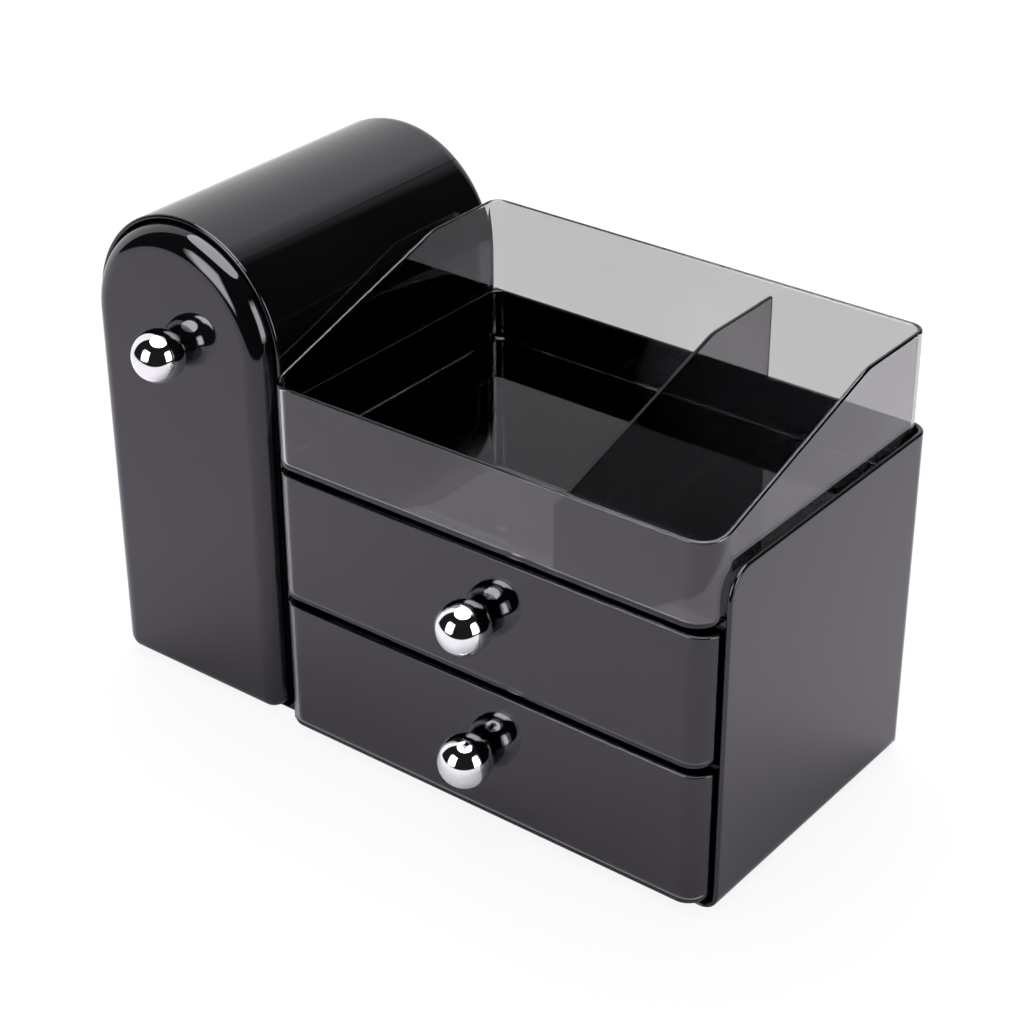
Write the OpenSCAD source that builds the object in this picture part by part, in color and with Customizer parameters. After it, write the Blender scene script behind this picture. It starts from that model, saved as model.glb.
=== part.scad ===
// Dustproof makeup organizer: an arched tower with a pull-out brush caddy, beside a low
// cabinet that holds two drawers and carries a lift-out tray.
// Millimetres, +Z up, the fronts face -Y. The origin is the middle of the floor area that
// the whole object covers, knobs included, at the underside of its feet.

/* [Shells] */
// Outer width of the tower, which its half-round top spans
tower_w = 98; // [90:1:110]
// Height of the tower above the underside of its base
tower_h = 212; // [200:1:240]
// Outer width of the cabinet
cabinet_w = 212; // [190:1:240]
// Depth of the cabinet's shell, from its walls' front edges to its back
shell_d = 138; // [130:1:150]
// How far the tower's front rim is set back from the cabinet's walls
tower_setback = 3; // [1:0.5:5]
// Height of the cabinet's walls above the shelf under the tray
tray_well = 23; // [16:1:30]
// Wall thickness of the tower and the cabinet
shell_t = 2.2; // [2:0.1:2.8]
// Thickness of the base under the tower and the cabinet
base_t = 1.8; // [1.6:0.1:2.4]
// Outer radius of the long bottom edges on the left and the right
base_edge_r = 7.5; // [6:0.5:9]
// Radius of the top front corners of the cabinet's side walls
wall_corner_r = 12; // [8:1:16]
// Outer radius of the cabinet's upright back corner
back_corner_r = 8; // [6:0.5:10]

/* [Drawers and tray] */
// Height of the lower drawer
lower_drawer_h = 59; // [52:1:66]
// Height of the upper drawer
upper_drawer_h = 57.3; // [50.3:1:64.3]
// How far the drawers and the tray stand proud of the walls' front edges
front_proud = 8; // [6:0.5:9]
// Radius in plan of the upright corners at the fronts of the drawers and the tray
front_corner_r = 9; // [7:1:12]
// Radius in plan of the tray's upright corners at the back
tray_back_r = 6.5; // [5:0.5:9]
// Radius in plan of the drawers' upright corners at the back and of all the caddy's
rear_corner_r = 5; // [4:0.5:7]
// Wall and floor thickness of the drawers and the caddy
tub_t = 1.8; // [1.5:0.1:2.2]
// Wall and floor thickness of the tray
tray_t = 2; // [1.6:0.1:2.4]
// Height of the tray's rim at the front
tray_front_h = 36.2; // [30.2:1:42.2]
// Height of the tray's rim at the back
tray_back_h = 65.5; // [55.5:1:75.5]
// Where the tray's side rims start to rise, measured from its front
rim_rise_from = 5.4; // [3.4:1:10.4]
// Where the tray's side rims level out again, measured from its front
rim_rise_to = 100; // [80:1:110]
// Inner width of the tray's small compartment on the right
small_bay_w = 65; // [50:1:80]
// Thickness of the tray's divider
tray_divider_t = 1.8; // [1.5:0.1:2.4]
// How far the tray's divider stays below the rim
divider_drop = 6; // [3:1:10]
// Depth of the groove in the tray's floor that the divider stands in
divider_groove = 0.8; // [0.5:0.1:1]
// Space between the backs of the drawers and the cabinet's back wall
rear_space = 15.8; // [14.8:1:20.8]

/* [Tower front and caddy] */
// How far the tower's front stands proud of the cabinet's walls
tower_front_proud = 5; // [3:0.5:7]
// Depth of the tower's front, from its face to its back edge
tower_front_d = 13; // [12:0.5:16]
// Radius of the rolled edge around the tower's front
roll_r = 9; // [7:0.5:10]
// Skin thickness of the tower's front
tower_front_t = 2; // [1.6:0.1:2.4]
// Height of the brush caddy
caddy_h = 95; // [80:1:110]
// Thickness of the caddy's dividers
caddy_divider_t = 1.6; // [1.2:0.1:2]
// How far the caddy's dividers stay below its top
caddy_divider_drop = 5; // [3:1:10]

/* [Shelves, runners and stops] */
// Thickness of the two shelves
shelf_t = 1.6; // [1.4:0.1:2]
// How far the shelves' front edges are set back from the walls' front edges
shelf_setback = 2; // [1:0.5:5]
// Depth of the grooves in the side walls that hold the shelves
groove_d = 0.9; // [0.6:0.1:1.1]
// Height of the runners on the base
runner_h = 2.4; // [2:0.1:3]
// Height of the low runners on the drawer shelf
shelf_runner_h = 0.4; // [0.3:0.1:0.8]
// Width of every runner
runner_w = 5; // [4:0.5:8]
// Distance of the runners from the sides of what slides on them
runner_inset = 14; // [10:1:20]
// Width of the stop clips under the shelves
stop_w = 24; // [16:1:40]
// Where the stops end at the back, measured from the walls' front edges
stop_y = 14; // [12:1:20]
// Length of a stop clip, front to back
stop_len = 12; // [10:1:14]
// Thickness of a stop clip's plate and hook
stop_t = 2; // [1.5:0.5:3]
// How deep a stop clip's hook hangs
stop_hook = 4; // [3:0.5:6]
// Radius of the stops' studs
stud_r = 2; // [1.5:0.5:3]
// How far the brush caddy slides out
caddy_travel = 98; // [88:1:100]

/* [Knobs, screws, rivets and feet] */
// Radius of a ball knob
knob_r = 11; // [9:0.5:13]
// Distance from a knob's middle to its flat seat
knob_seat = 8.8; // [6.8:0.5:9.8]
// How far the tower's knob sits below the middle of the arch
tower_knob_drop = 3.7; // [0:0.1:10]
// Radius of a knob screw's shank
knob_screw_r = 2; // [1.5:0.1:2.5]
// How far a knob screw reaches into its knob
knob_screw_reach = 7; // [5:1:9]
// Room past the end of a knob screw in its knob
knob_bore_spare = 2; // [1:0.5:2.5]
// Radius of a knob screw's head
knob_head_r = 3.6; // [3:0.1:4.5]
// Thickness of a knob screw's head
knob_head_h = 2.2; // [1.6:0.1:3]
// Radius of a small screw's shank
screw_r = 1.25; // [1:0.05:1.5]
// Length of a small screw's shank
screw_len = 8; // [6:0.5:9]
// Radius of a small screw's head
screw_head_r = 2.7; // [2.2:0.1:3.2]
// Thickness of a small screw's head
screw_head_h = 1.2; // [1:0.1:1.6]
// Radius of the bosses that the small screws enter
boss_r = 3.6; // [3:0.1:4.5]
// How far a boss laps into the wall beside it
boss_lap = 0.8; // [0.5:0.1:1.2]
// Length of the bosses inside the tower's back
boss_len = 9; // [8:0.5:10]
// Thickness of the tower's back panel
back_panel_t = 2.4; // [2.4:0.1:3]
// Radius of a joining rivet's shank
rivet_r = 2; // [1.5:0.1:2.5]
// Radius of a joining rivet's heads
rivet_head_r = 3.5; // [3:0.1:4.5]
// Thickness of a joining rivet's heads
rivet_head_h = 1.2; // [0.8:0.1:1.6]
// Radius of a foot pad
foot_r = 6; // [4:0.5:8]
// Thickness of a foot pad
foot_t = 1; // [0.8:0.1:1.4]
// How deep a foot pad is let into the base
foot_sunk = 0.4; // [0.2:0.1:0.6]
// Distance from the middle of a foot pad to the shell's edges
foot_inset = 16; // [12:1:24]

/* [Clearances] */
// Gap at each side of the drawers, the tray and the caddy
side_gap = 1; // [0.6:0.1:1.4]
// Gap around the tower's front, inside the arch
arch_gap = 0.8; // [0.5:0.1:1.2]
// Gap between the tower's front and the base
sill_gap = 0.6; // [0.4:0.1:1]
// Gap above each drawer
over_gap = 0.5; // [0.3:0.1:0.9]
// Gap between the tray's back and the cabinet's back wall
tray_rear_gap = 0.8; // [0.5:0.1:1.5]
// Gap between two pieces that are fitted together by hand
fit_gap = 0.15; // [0.1:0.05:0.3]
// Radial gap of a shank in the hole that holds it
shank_gap = 0.05; // [0.02:0.01:0.1]
// Gap between a moving piece and a stop or a runner that it passes
pass_gap = 0.3; // [0.2:0.1:0.5]

/* [Hidden] */
$fn = 96;
eps = 1;
roll_lap = 1;

black = "#1f1d22";
smoke = "#58565c";
clear_smoke = "#8f8d92";
inner_black = "#2a282d";
chrome = "#d9dadd";
zinc = "#a3a5a8";
rubber = "#3a393c";

// Heights above the underside of the base
drawer_z = base_t + runner_h;
lower_top_z = drawer_z + lower_drawer_h;
drawer_shelf_z = lower_top_z + over_gap;
upper_z = drawer_shelf_z + shelf_t + shelf_runner_h;
upper_top_z = upper_z + upper_drawer_h;
tray_shelf_z = upper_top_z + over_gap;
tray_z = tray_shelf_z + shelf_t;
cabinet_h = tray_z + tray_well;
arch_r = tower_w / 2;
arch_z = tower_h - arch_r;

// Places across the object, from the tower's left face
organizer_w = tower_w + cabinet_w;
bay_x0 = tower_w + shell_t;
bay_x1 = organizer_w - shell_t;
tub_x0 = bay_x0 + side_gap;
tub_x1 = bay_x1 - side_gap;
tub_mid_x = (tub_x0 + tub_x1) / 2;
caddy_x0 = shell_t + side_gap;
caddy_x1 = tower_w - shell_t - side_gap;
inner_edge_r = base_edge_r - shell_t;
tub_edge_r = inner_edge_r - side_gap;
divider_x = tub_x1 - tray_t - small_bay_w - tray_divider_t / 2;

// Places from front to back, from the walls' front edges
bay_back_y = shell_d - shell_t;
drawer_back_y = bay_back_y - rear_space;
tray_back_y = bay_back_y - tray_rear_gap;
tower_face_y = -tower_front_proud;
caddy_y = tower_face_y + tower_front_d;
back_panel_y = shell_d - back_panel_t;
tongue_end_y = bay_back_y - back_corner_r - fit_gap;
rivet_y = drawer_back_y + rivet_head_r + 2 * side_gap;
caddy_mid_y = (caddy_y + drawer_back_y) / 2;

// Knobs, feet and the object's frame
knob_reach = knob_seat + knob_r;
foot_proud = foot_t - foot_sunk;
front_reach = max(front_proud, tower_front_proud) + knob_reach;
lower_knob_z = drawer_z + lower_drawer_h / 2;
upper_knob_z = upper_z + upper_drawer_h / 2;
tower_knob_z = arch_z - tower_knob_drop;

// Where the tower's two sets of small screws sit, as [x, z]
back_boss_inset = shell_t + boss_r - boss_lap;
back_boss_low_z = base_edge_r + 2 * boss_r;
back_bosses = [for (x = [back_boss_inset, tower_w - back_boss_inset],
                    z = [back_boss_low_z, arch_z - 2 * boss_r]) [x, z]];
// The rivets stay clear of the lowest boss and of the shelves
rivet_low_z = back_boss_low_z + boss_r + rivet_head_r + 2 * side_gap;
rivet_z = [rivet_low_z, drawer_z + lower_drawer_h * 3 / 4, upper_knob_z];
front_boss_side = tower_w / 4;
front_bosses = [for (x = [front_boss_side, tower_w - front_boss_side],
                     z = [drawer_z + caddy_h / 4, drawer_z + caddy_h * 3 / 4]) [x, z]];

// Moves a piece from the tower's left front bottom corner to the object's own frame.
module in_frame()
    translate([-organizer_w / 2, (front_reach - shell_d) / 2, foot_proud]) children();

// Extrude a flat outline along one axis: [x, z] along Y, [y, z] along X, [x, y] along Z.
module along_y(y0, y1) translate([0, y1, 0]) rotate([90, 0, 0]) linear_extrude(y1 - y0) children();
module along_x(x0, x1) translate([x0, 0, 0]) rotate([90, 0, 90]) linear_extrude(x1 - x0) children();
module along_z(z0, z1) translate([0, 0, z0]) linear_extrude(z1 - z0) children();

// A box from one corner to the opposite one.
module span(low, high) translate(low) cube(high - low);

// A rod from a point: its own +Z points to the front, to the back or to the right.
module facing_front(x, y, z) translate([x, y, z]) rotate([90, 0, 0]) children();
module facing_back(x, y, z) translate([x, y, z]) rotate([-90, 0, 0]) children();
module facing_right(x, y, z) translate([x, y, z]) rotate([0, 90, 0]) children();
module rod(r, z0, z1) translate([0, 0, z0]) cylinder(r = r, h = z1 - z0);

// A rectangle with its own radius at each corner, counted from the low corner around.
module rounded_2d(x0, x1, y0, y1, radii) {
    corners = [[x0, y0], [x1, y0], [x1, y1], [x0, y1]];
    difference() {
        translate([x0, y0]) square([x1 - x0, y1 - y0]);
        for (i = [0:3])
            if (radii[i] > 0)
                translate(corners[i]) rotate(90 * i) corner_waste_2d(radii[i]);
    }
}

// What the rounding takes off a corner at the origin.
module corner_waste_2d(r) difference() {
    translate([-eps, -eps]) square(r + eps);
    translate([r, r]) circle(r);
}

// The tower's outline, brought in at the sides and the arch by inset, with its own bottom.
module arch_2d(inset, bottom, left_r, right_r) {
    rounded_2d(inset, tower_w - inset, bottom, arch_z, [left_r, right_r, 0, 0]);
    translate([arch_r, arch_z]) circle(arch_r - inset);
}

// An open tub: rounded in plan, and rounded along its long bottom edges.
module tub(x0, x1, y0, y1, z0, z1, t, front_r, back_r, edge_r) difference() {
    tub_block(x0, x1, y0, y1, z0, z1, front_r, back_r, edge_r);
    tub_block(x0 + t, x1 - t, y0 + t, y1 - t, z0 + t, z1 + eps,
              front_r - t, back_r - t, edge_r - t);
}
module tub_block(x0, x1, y0, y1, z0, z1, front_r, back_r, edge_r) intersection() {
    along_z(z0, z1) rounded_2d(x0, x1, y0, y1, [front_r, front_r, back_r, back_r]);
    along_y(y0, y1) rounded_2d(x0, x1, z0, z1, [edge_r, edge_r, 0, 0]);
}

// The tower front's form: the arch's outline with its front edge rolled over by r.
module rolled_arch(inset, bottom, r, y0, y1) {
    right = tower_w - inset - r;
    left = inset + r;
    along_y(y0, y1) arch_2d(inset + r, bottom + r, 0, 0);
    along_y(y0 + r, y1) arch_2d(inset, bottom, r, r);
    // the straight sides, the bottom, its two corners, and the arch
    along_z(bottom + r, arch_z) {
        translate([left, y0 + r]) rotate(180) roll_2d(r, r);
        translate([right, y0 + r]) mirror([0, 1]) roll_2d(r, r);
    }
    along_x(left, right) translate([y0 + r, bottom + r]) mirror([1, 1]) roll_2d(r, r);
    for (x = [left, right])
        facing_front(x, y0 + r, bottom + r) rotate_extrude() roll_2d(r, 0);
    facing_front(arch_r, y0 + r, arch_z)
        rotate_extrude(angle = 180) translate([arch_r - inset - r, 0]) roll_2d(r, r);
}

// The section of a roll: +x outward, +y to the front. It laps into what it rounds off, by
// inner on the inside and by roll_lap at the back.
module roll_2d(r, inner) {
    intersection() {
        circle(r);
        translate([-inner, 0]) square([inner + r, r]);
    }
    translate([-inner, -roll_lap]) square([inner + r, roll_lap]);
}

// A screw whose head lies on z = 0 and whose shank points down.
module screw(shank_r, shank_len, head_r, head_h) {
    rod(shank_r, -shank_len, eps / 2);
    rod(head_r, 0, head_h);
}

// A ball knob on a face at y, its screw from behind a wall of thickness t, and the hole.
module knob(x, y, z) facing_front(x, y, z) difference() {
    translate([0, 0, knob_seat]) sphere(knob_r);
    rod(knob_r, -knob_r, 0);
    // the bore for the screw
    rod(knob_screw_r + shank_gap, -eps, knob_screw_reach + knob_bore_spare);
}
module knob_screw(x, y, z, t) facing_front(x, y, z) {
    rod(knob_screw_r, -t - eps, knob_screw_reach);
    rod(knob_head_r, -t - knob_head_h, -t);
}
module knob_hole(x, y, z, t) facing_front(x, y, z) rod(knob_screw_r + fit_gap, -t - eps, eps);

// Two runners along Y from y0 on, set in from the sides of the piece that slides on them.
module runners(x0, x1, y0, z0, z1) for (x = [x0 + runner_inset, x1 - runner_inset - runner_w])
    span([x, y0, z0], [x + runner_w, drawer_back_y, z1]);

// The holes that the rivets go through, and the recesses for the feet.
module rivet_holes() for (z = rivet_z)
    facing_right(tower_w, rivet_y, z) rod(rivet_r + shank_gap, -shell_t - eps, shell_t + eps);
module foot_recess(x, y) translate([x, y, 0]) rod(foot_r + fit_gap, -eps, foot_sunk);
module foot_recesses(x) for (y = [foot_inset, shell_d - foot_inset]) foot_recess(x, y);
module foot(x, y) color(rubber) in_frame() translate([x, y, 0]) rod(foot_r, -foot_proud, foot_sunk);

module tower_shell() color(black) in_frame() difference() {
    union() {
        difference() {
            along_y(tower_setback, shell_d) arch_2d(0, 0, base_edge_r, 0);
            along_y(0, shell_d + eps) arch_2d(shell_t, base_t, inner_edge_r, inner_edge_r);
        }
        runners(caddy_x0, caddy_x1, caddy_y + pass_gap, base_t - foot_sunk, drawer_z);
        for (p = back_bosses) facing_back(p[0], back_panel_y, p[1]) rod(boss_r, -boss_len, 0);
    }
    for (p = back_bosses)
        facing_back(p[0], back_panel_y, p[1]) rod(screw_r + shank_gap, -screw_len, eps);
    rivet_holes();
    foot_recesses(foot_inset);
    translate([arch_r, stop_y - stop_t, 0]) rod(stud_r + shank_gap, -eps, base_t + eps);
}

module tower_back_panel() color(black) in_frame() difference() {
    along_y(back_panel_y, shell_d) arch_2d(shell_t + fit_gap, base_t + fit_gap,
                                           inner_edge_r, inner_edge_r);
    for (p = back_bosses) facing_back(p[0], shell_d, p[1]) {
        rod(screw_r + fit_gap, -back_panel_t - eps, eps);
        rod(screw_head_r + fit_gap, -screw_head_h, eps);
    }
}

module back_panel_screws() color(zinc) in_frame() for (p = back_bosses)
    facing_back(p[0], shell_d - screw_head_h, p[1])
        screw(screw_r, screw_len, screw_head_r, screw_head_h);

module tower_drawer_front() color(black) in_frame() {
    inset = shell_t + arch_gap;
    bottom = base_t + sill_gap;
    difference() {
        union() {
            difference() {
                rolled_arch(inset, bottom, roll_r, tower_face_y, caddy_y);
                rolled_arch(inset + tower_front_t, bottom + tower_front_t,
                            roll_r - tower_front_t, tower_face_y + tower_front_t, caddy_y + eps);
            }
            for (p = front_bosses) facing_back(p[0], caddy_y, p[1])
                rod(boss_r, tower_front_t / 2 - tower_front_d, 0);
        }
        for (p = front_bosses) facing_back(p[0], caddy_y, p[1])
            rod(screw_r + shank_gap, -screw_len, eps);
        knob_hole(arch_r, tower_face_y, tower_knob_z, tower_front_t);
    }
}

module tower_knob() color(chrome) in_frame() knob(arch_r, tower_face_y, tower_knob_z);
module tower_knob_screw() color(zinc) in_frame()
    knob_screw(arch_r, tower_face_y, tower_knob_z, tower_front_t);

module brush_caddy() color(inner_black) in_frame() difference() {
    union() {
        tub(caddy_x0, caddy_x1, caddy_y, drawer_back_y, drawer_z, drawer_z + caddy_h, tub_t,
            rear_corner_r, rear_corner_r, tub_edge_r);
        // the heel that meets the stop on the base when the caddy is out
        span([arch_r - stop_w / 2, stop_y + caddy_travel, base_t + pass_gap],
             [arch_r + stop_w / 2, stop_y + caddy_travel + stop_t, drawer_z + tub_t / 2]);
    }
    for (p = front_bosses) facing_back(p[0], caddy_y, p[1])
        rod(screw_r + fit_gap, -eps, tub_t + eps);
}

// The caddy's dividers cross at half height.
caddy_floor_z = drawer_z + tub_t;
caddy_divider_top = drawer_z + caddy_h - caddy_divider_drop;
caddy_lap_z = (caddy_floor_z + caddy_divider_top) / 2;
caddy_lap_half = caddy_divider_t / 2 + fit_gap;

module caddy_long_divider() color(inner_black) in_frame() difference() {
    span([arch_r - caddy_divider_t / 2, caddy_y + tub_t + fit_gap, caddy_floor_z],
         [arch_r + caddy_divider_t / 2, drawer_back_y - tub_t - fit_gap, caddy_divider_top]);
    span([arch_r - caddy_divider_t, caddy_mid_y - caddy_lap_half, caddy_lap_z],
         [arch_r + caddy_divider_t, caddy_mid_y + caddy_lap_half, caddy_divider_top + eps]);
}
module caddy_cross_divider() color(inner_black) in_frame() difference() {
    intersection() {
        span([caddy_x0, caddy_mid_y - caddy_divider_t / 2, caddy_floor_z],
             [caddy_x1, caddy_mid_y + caddy_divider_t / 2, caddy_divider_top]);
        along_y(caddy_y, drawer_back_y)
            rounded_2d(caddy_x0 + tub_t + fit_gap, caddy_x1 - tub_t - fit_gap, caddy_floor_z,
                       caddy_divider_top, [tub_edge_r, tub_edge_r, 0, 0]);
    }
    span([arch_r - caddy_lap_half, caddy_mid_y - caddy_divider_t, caddy_floor_z - eps],
         [arch_r + caddy_lap_half, caddy_mid_y + caddy_divider_t, caddy_lap_z]);
}

module tower_front_screws() color(zinc) in_frame() for (p = front_bosses)
    facing_back(p[0], caddy_y + tub_t, p[1]) screw(screw_r, screw_len, screw_head_r, screw_head_h);

module tower_drawer_stop() color(inner_black) in_frame() {
    span([arch_r - stop_w / 2, stop_y - 2 * stop_t, base_t],
         [arch_r + stop_w / 2, stop_y, drawer_z - pass_gap]);
    translate([arch_r, stop_y - stop_t, 0]) rod(stud_r, fit_gap, base_t + pass_gap);
}

module cabinet_shell() color(black) in_frame() difference() {
    union() {
        difference() {
            intersection() {
                along_y(0, shell_d) rounded_2d(tower_w, organizer_w, 0, cabinet_h,
                                               [0, base_edge_r, 0, 0]);
                along_z(0, cabinet_h) rounded_2d(tower_w, organizer_w, 0, shell_d,
                                                 [0, 0, back_corner_r, 0]);
                along_x(tower_w, organizer_w) rounded_2d(0, shell_d, 0, cabinet_h,
                                                         [0, 0, 0, wall_corner_r]);
            }
            intersection() {
                along_y(-eps, bay_back_y)
                    rounded_2d(bay_x0, bay_x1, base_t, cabinet_h + eps,
                               [inner_edge_r, inner_edge_r, 0, 0]);
                along_z(0, cabinet_h + eps)
                    rounded_2d(bay_x0, bay_x1, -eps, bay_back_y,
                               [0, 0, back_corner_r - shell_t, back_corner_r - shell_t]);
            }
        }
        runners(tub_x0, tub_x1, shelf_setback, base_t - foot_sunk, drawer_z);
    }
    for (z = [drawer_shelf_z, tray_shelf_z])
        span([bay_x0 - groove_d, -eps, z - shank_gap],
             [bay_x1 + groove_d, tongue_end_y + fit_gap, z + shelf_t + shank_gap]);
    rivet_holes();
    foot_recesses(tower_w + foot_inset);
    foot_recesses(organizer_w - foot_inset);
}

module joining_rivets() color(zinc) in_frame() for (z = rivet_z)
    facing_right(tower_w, rivet_y, z) {
        rod(rivet_r, -shell_t - rivet_head_h, shell_t + rivet_head_h);
        rod(rivet_head_r, -shell_t - rivet_head_h, -shell_t);
        rod(rivet_head_r, shell_t, shell_t + rivet_head_h);
    }

// A shelf with a tongue along each side and a hole for its stop's stud.
module shelf(z) difference() {
    union() {
        along_z(z, z + shelf_t)
            rounded_2d(bay_x0 + fit_gap, bay_x1 - fit_gap, shelf_setback, bay_back_y - fit_gap,
                       [0, 0, back_corner_r, back_corner_r]);
        span([bay_x0 - groove_d + fit_gap, shelf_setback, z],
             [bay_x1 + groove_d - fit_gap, tongue_end_y, z + shelf_t]);
    }
    translate([tub_mid_x, stop_y - stop_len / 2, z]) rod(stud_r + shank_gap, -eps, shelf_t + eps);
}

module drawer_shelf() color(black) in_frame() {
    shelf(drawer_shelf_z);
    runners(tub_x0, tub_x1, shelf_setback, drawer_shelf_z + shelf_t / 2, upper_z);
}
module tray_shelf() color(black) in_frame() shelf(tray_shelf_z);

// A clip under a shelf, whose hook hangs into the drawer and stops its back wall.
module stop_clip(z) color(inner_black) in_frame() {
    x0 = tub_mid_x - stop_w / 2;
    x1 = tub_mid_x + stop_w / 2;
    span([x0, stop_y - stop_len, z - stop_t], [x1, stop_y, z]);
    span([x0, stop_y - stop_t, z - stop_hook], [x1, stop_y, z]);
    translate([tub_mid_x, stop_y - stop_len / 2, z]) rod(stud_r, -stop_t, shelf_t - fit_gap);
}
module upper_drawer_stop() stop_clip(tray_shelf_z);
module lower_drawer_stop() stop_clip(drawer_shelf_z);

module drawer(z, h, knob_z) color(smoke) in_frame() difference() {
    tub(tub_x0, tub_x1, -front_proud, drawer_back_y, z, z + h, tub_t,
        front_corner_r, rear_corner_r, tub_edge_r);
    knob_hole(tub_mid_x, -front_proud, knob_z, tub_t);
}
module upper_drawer() drawer(upper_z, upper_drawer_h, upper_knob_z);
module lower_drawer() drawer(drawer_z, lower_drawer_h, lower_knob_z);
module upper_drawer_knob() color(chrome) in_frame() knob(tub_mid_x, -front_proud, upper_knob_z);
module lower_drawer_knob() color(chrome) in_frame() knob(tub_mid_x, -front_proud, lower_knob_z);
module upper_knob_screw() color(zinc) in_frame()
    knob_screw(tub_mid_x, -front_proud, upper_knob_z, tub_t);
module lower_knob_screw() color(zinc) in_frame()
    knob_screw(tub_mid_x, -front_proud, lower_knob_z, tub_t);

// The tray's side outline, from y0 to y1 and lowered by drop.
module rim_profile_2d(y0, y1, bottom, drop) {
    front_z = tray_z + tray_front_h - drop;
    back_z = tray_z + tray_back_h - drop;
    polygon([[y0, bottom], [y1, bottom], [y1, back_z], [rim_rise_to - front_proud, back_z],
             [rim_rise_from - front_proud, front_z], [y0, front_z]]);
}

module tray() color(clear_smoke, 0.5) in_frame() difference() {
    intersection() {
        tub(tub_x0, tub_x1, -front_proud, tray_back_y, tray_z, tray_z + tray_back_h, tray_t,
            front_corner_r, tray_back_r, tub_edge_r);
        along_x(tub_x0, tub_x1) rim_profile_2d(-front_proud, tray_back_y, tray_z, 0);
    }
    span([divider_x - tray_divider_t / 2 - fit_gap, -front_proud + tray_t,
          tray_z + tray_t - divider_groove],
         [divider_x + tray_divider_t / 2 + fit_gap, tray_back_y - tray_t, tray_z + tray_t + eps]);
}
module tray_divider() color(clear_smoke, 0.5) in_frame()
    along_x(divider_x - tray_divider_t / 2, divider_x + tray_divider_t / 2)
        rim_profile_2d(-front_proud + tray_t + fit_gap, tray_back_y - tray_t - fit_gap,
                       tray_z + tray_t - divider_groove, divider_drop);

module tower_front_foot() foot(foot_inset, foot_inset);
module tower_back_foot() foot(foot_inset, shell_d - foot_inset);
module middle_front_foot() foot(tower_w + foot_inset, foot_inset);
module middle_back_foot() foot(tower_w + foot_inset, shell_d - foot_inset);
module cabinet_front_foot() foot(organizer_w - foot_inset, foot_inset);
module cabinet_back_foot() foot(organizer_w - foot_inset, shell_d - foot_inset);

tower_shell();
tower_back_panel();
back_panel_screws();
tower_drawer_front();
tower_knob();
tower_knob_screw();
brush_caddy();
caddy_long_divider();
caddy_cross_divider();
tower_front_screws();
tower_drawer_stop();
cabinet_shell();
joining_rivets();
drawer_shelf();
tray_shelf();
upper_drawer();
upper_drawer_knob();
upper_knob_screw();
upper_drawer_stop();
lower_drawer();
lower_drawer_knob();
lower_knob_screw();
lower_drawer_stop();
tray();
tray_divider();
tower_front_foot();
tower_back_foot();
middle_front_foot();
middle_back_foot();
cabinet_front_foot();
cabinet_back_foot();
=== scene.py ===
import math

import bmesh
import bpy
from mathutils import Matrix, Vector

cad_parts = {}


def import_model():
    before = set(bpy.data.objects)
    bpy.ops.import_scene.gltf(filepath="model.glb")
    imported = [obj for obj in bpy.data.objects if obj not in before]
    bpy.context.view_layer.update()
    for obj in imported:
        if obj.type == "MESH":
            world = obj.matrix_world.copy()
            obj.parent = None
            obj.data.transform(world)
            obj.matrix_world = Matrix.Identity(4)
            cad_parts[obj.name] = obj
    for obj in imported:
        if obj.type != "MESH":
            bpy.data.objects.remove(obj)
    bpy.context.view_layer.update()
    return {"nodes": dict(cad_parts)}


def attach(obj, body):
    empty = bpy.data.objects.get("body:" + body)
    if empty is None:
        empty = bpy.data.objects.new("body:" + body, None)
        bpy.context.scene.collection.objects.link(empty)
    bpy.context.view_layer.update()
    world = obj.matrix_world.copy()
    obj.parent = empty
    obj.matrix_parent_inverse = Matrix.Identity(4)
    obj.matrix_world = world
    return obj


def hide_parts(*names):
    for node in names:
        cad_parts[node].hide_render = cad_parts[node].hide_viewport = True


# The part's build plan is in millimetres: x from the tower's left side, y from the walls'
# front edges and z from the underside of the bases. PLAN_ORIGIN is the row frame's origin
# in that plan. The studio at the end is in metres in the row frame.
PLAN_ORIGIN = (155.0, 55.1, -0.6)

# Sizes of the plan that several pieces share
TOWER_W = 98.0
ARCH_X = 49.0
ARCH_Z = 163.0
CABINET_LEFT = 98.0
CABINET_RIGHT = 310.0
BODY_BACK = 138.0
SHELL_T = 2.2
BASE_T = 1.8
BASE_EDGE_R = 7.5
TUB_X = (101.2, 306.8)
TUB_MID_X = 204.0
TUB_FRONT = -8.0

# Even steps that make up a rounded corner
CORNER_STEPS = 10


# ---------------------------------------------------------------- outlines and lofted skins

def place(x, y, z):
    """A point of the build plan, in metres in the row frame."""
    return tuple((v - o) / 1000 for v, o in zip((x, y, z), PLAN_ORIGIN))


def arc(cx, cy, r, start, end, steps=CORNER_STEPS):
    """Points of an arc between two angles in degrees, both ends included."""
    angles = [math.radians(start + (end - start) * i / steps) for i in range(steps + 1)]
    return [(cx + r * math.cos(a), cy + r * math.sin(a)) for a in angles]


def rounded_rect(x0, x1, y0, y1, radii, stops=()):
    """A rounded rectangle, anticlockwise; its two sides get a point at each y of stops."""
    r = [max(value, 0.2) for value in radii]
    right = [(x1, y) for y in stops]
    left = [(x0, y) for y in reversed(stops)]
    return (arc(x0 + r[0], y0 + r[0], r[0], 180, 270)
            + arc(x1 - r[1], y0 + r[1], r[1], 270, 360) + right
            + arc(x1 - r[2], y1 - r[2], r[2], 0, 90)
            + arc(x0 + r[3], y1 - r[3], r[3], 90, 180) + left)


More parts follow.
